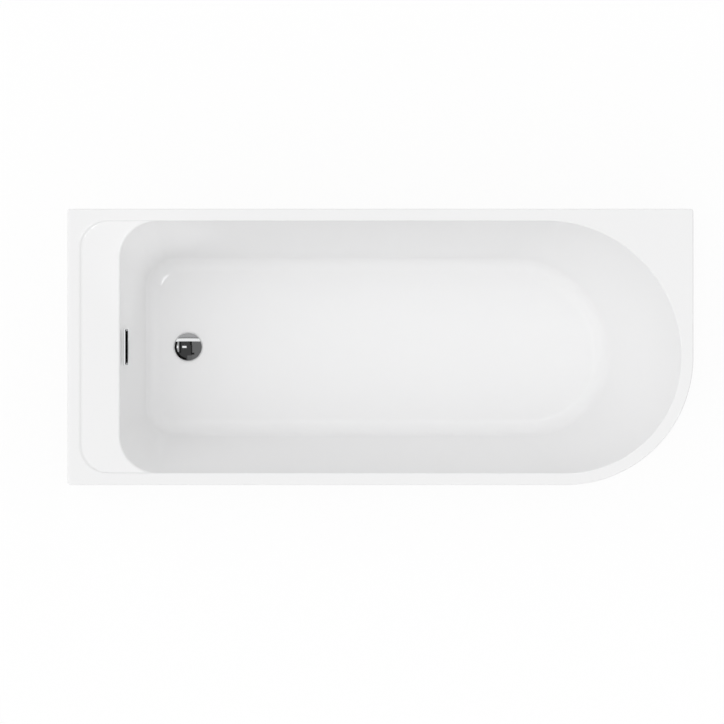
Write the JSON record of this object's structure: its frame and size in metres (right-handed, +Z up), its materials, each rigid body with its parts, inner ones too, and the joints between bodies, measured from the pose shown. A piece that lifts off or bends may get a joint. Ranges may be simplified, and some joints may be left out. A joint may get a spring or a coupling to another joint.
{
  "type": "corner bathtub",
  "caption": "Back-to-wall corner bathtub with one large rounded free corner, recessed tap ledge, wrap-round panel, screw-adjusted feet, click waste with trap and slot overflow.",
  "frame": {"origin": "on the floor, under the middle of the bath's overall length and width", "axes": "+X along the back wall from the tap end to the round end, +Y from the front panel to the back wall, +Z up"},
  "size_m": [1.7, 0.75, 0.58],
  "materials": {
    "white_acrylic": "high-gloss white sanitary acrylic",
    "panel_acrylic": "gloss white acrylic sheet",
    "glass_fibre": "sprayed glass-fibre reinforced resin, rough",
    "particle_board": "raw particle board",
    "softwood": "planed softwood",
    "galvanised_steel": "galvanised steel",
    "zinc_fasteners": "bright zinc plating",
    "spring_steel": "drawn spring wire",
    "black_plastic": "moulded black plastic",
    "black_rubber": "moulded rubber",
    "chrome": "polished chrome plating",
    "brass": "machined brass",
    "white_plastic": "moulded white polypropylene",
    "grey_hose": "ribbed flexible plastic hose"
  },
  "bodies": {
    "bath": {"acrylic_shell": "white_acrylic", "glass_fibre_backing": "glass_fibre", "base_board": "particle_board", "tap_ledge_board": "particle_board", "rim_batten_back": "softwood", "rim_batten_end": "softwood", "front_panel": "panel_acrylic", "panel_top_rail": "softwood", "panel_backing_strip": "particle_board", "panel_brackets": "galvanised_steel", "panel_bracket_screws": "zinc_fasteners", "frame_rail_front": "galvanised_steel", "frame_rail_back": "galvanised_steel", "crossbar_tap_end": "galvanised_steel", "crossbar_middle": "galvanised_steel", "crossbar_round_end": "galvanised_steel", "frame_end_caps": "black_plastic", "frame_bolts": "zinc_fasteners", "board_screws": "zinc_fasteners", "foot_nuts": "zinc_fasteners", "wall_brackets_back": "galvanised_steel", "wall_brackets_end": "galvanised_steel", "wall_bracket_screws": "zinc_fasteners", "waste_flange": "chrome", "waste_seal_upper": "black_rubber", "waste_seal_lower": "black_rubber", "waste_body": "white_plastic", "click_cartridge": "brass", "click_spring": "spring_steel", "trap_nut": "white_plastic", "trap_washer": "black_rubber", "trap_body": "white_plastic", "trap_outlet_nut": "white_plastic", "trap_outlet_seal": "black_rubber", "overflow_cover": "chrome", "overflow_gasket": "black_rubber", "overflow_elbow": "white_plastic", "overflow_screws": "zinc_fasteners", "overflow_hose": "grey_hose", "hose_clips": "galvanised_steel"},
    "plug": {"plug_cap": "chrome", "plug_seal": "black_rubber", "plug_stem": "brass"},
    "pad_1": {"foot_pad_1": "black_plastic"},
    "stud_1": {"foot_stud_1": "zinc_fasteners"},
    "pad_2": {"foot_pad_2": "black_plastic"},
    "stud_2": {"foot_stud_2": "zinc_fasteners"},
    "pad_3": {"foot_pad_3": "black_plastic"},
    "stud_3": {"foot_stud_3": "zinc_fasteners"},
    "pad_4": {"foot_pad_4": "black_plastic"},
    "stud_4": {"foot_stud_4": "zinc_fasteners"},
    "pad_5": {"foot_pad_5": "black_plastic"},
    "stud_5": {"foot_stud_5": "zinc_fasteners"},
    "pad_6": {"foot_pad_6": "black_plastic"},
    "stud_6": {"foot_stud_6": "zinc_fasteners"}
  },
  "joints": [
    {"name": "plug_lift", "type": "slide", "parent": "bath", "child": "plug", "axis": [0, 0, 1], "range_m": [0, 0.009], "deforming": ["click_spring"]},
    {"name": "pad_1_rise", "type": "slide", "parent": "bath", "child": "pad_1", "axis": [0, 0, -1], "range_m": [-0.00525, 0.021]},
    {"name": "stud_1_turn", "type": "hinge", "parent": "pad_1", "child": "stud_1", "pos_m": [-0.6, -0.225, 0], "axis": [0, 0, -1], "range_deg": [-1080, 4320]},
    {"name": "pad_2_rise", "type": "slide", "parent": "bath", "child": "pad_2", "axis": [0, 0, -1], "range_m": [-0.00525, 0.021]},
    {"name": "stud_2_turn", "type": "hinge", "parent": "pad_2", "child": "stud_2", "pos_m": [-0.6, 0.225, 0], "axis": [0, 0, -1], "range_deg": [-1080, 4320]},
    {"name": "pad_3_rise", "type": "slide", "parent": "bath", "child": "pad_3", "axis": [0, 0, -1], "range_m": [-0.00525, 0.021]},
    {"name": "stud_3_turn", "type": "hinge", "parent": "pad_3", "child": "stud_3", "pos_m": [-0.085, -0.225, 0], "axis": [0, 0, -1], "range_deg": [-1080, 4320]},
    {"name": "pad_4_rise", "type": "slide", "parent": "bath", "child": "pad_4", "axis": [0, 0, -1], "range_m": [-0.00525, 0.021]},
    {"name": "stud_4_turn", "type": "hinge", "parent": "pad_4", "child": "stud_4", "pos_m": [-0.085, 0.225, 0], "axis": [0, 0, -1], "range_deg": [-1080, 4320]},
    {"name": "pad_5_rise", "type": "slide", "parent": "bath", "child": "pad_5", "axis": [0, 0, -1], "range_m": [-0.00525, 0.021]},
    {"name": "stud_5_turn", "type": "hinge", "parent": "pad_5", "child": "stud_5", "pos_m": [0.41, -0.225, 0], "axis": [0, 0, -1], "range_deg": [-1080, 4320]},
    {"name": "pad_6_rise", "type": "slide", "parent": "bath", "child": "pad_6", "axis": [0, 0, -1], "range_m": [-0.00525, 0.021]},
    {"name": "stud_6_turn", "type": "hinge", "parent": "pad_6", "child": "stud_6", "pos_m": [0.41, 0.225, 0], "axis": [0, 0, -1], "range_deg": [-1080, 4320]}
  ],
  "couplings": [
    {"joint": "stud_1_turn", "follows": "pad_1_rise", "rad_per_m": 3590.4},
    {"joint": "stud_2_turn", "follows": "pad_2_rise", "rad_per_m": 3590.4},
    {"joint": "stud_3_turn", "follows": "pad_3_rise", "rad_per_m": 3590.4},
    {"joint": "stud_4_turn", "follows": "pad_4_rise", "rad_per_m": 3590.4},
    {"joint": "stud_5_turn", "follows": "pad_5_rise", "rad_per_m": 3590.4},
    {"joint": "stud_6_turn", "follows": "pad_6_rise", "rad_per_m": 3590.4}
  ]
}
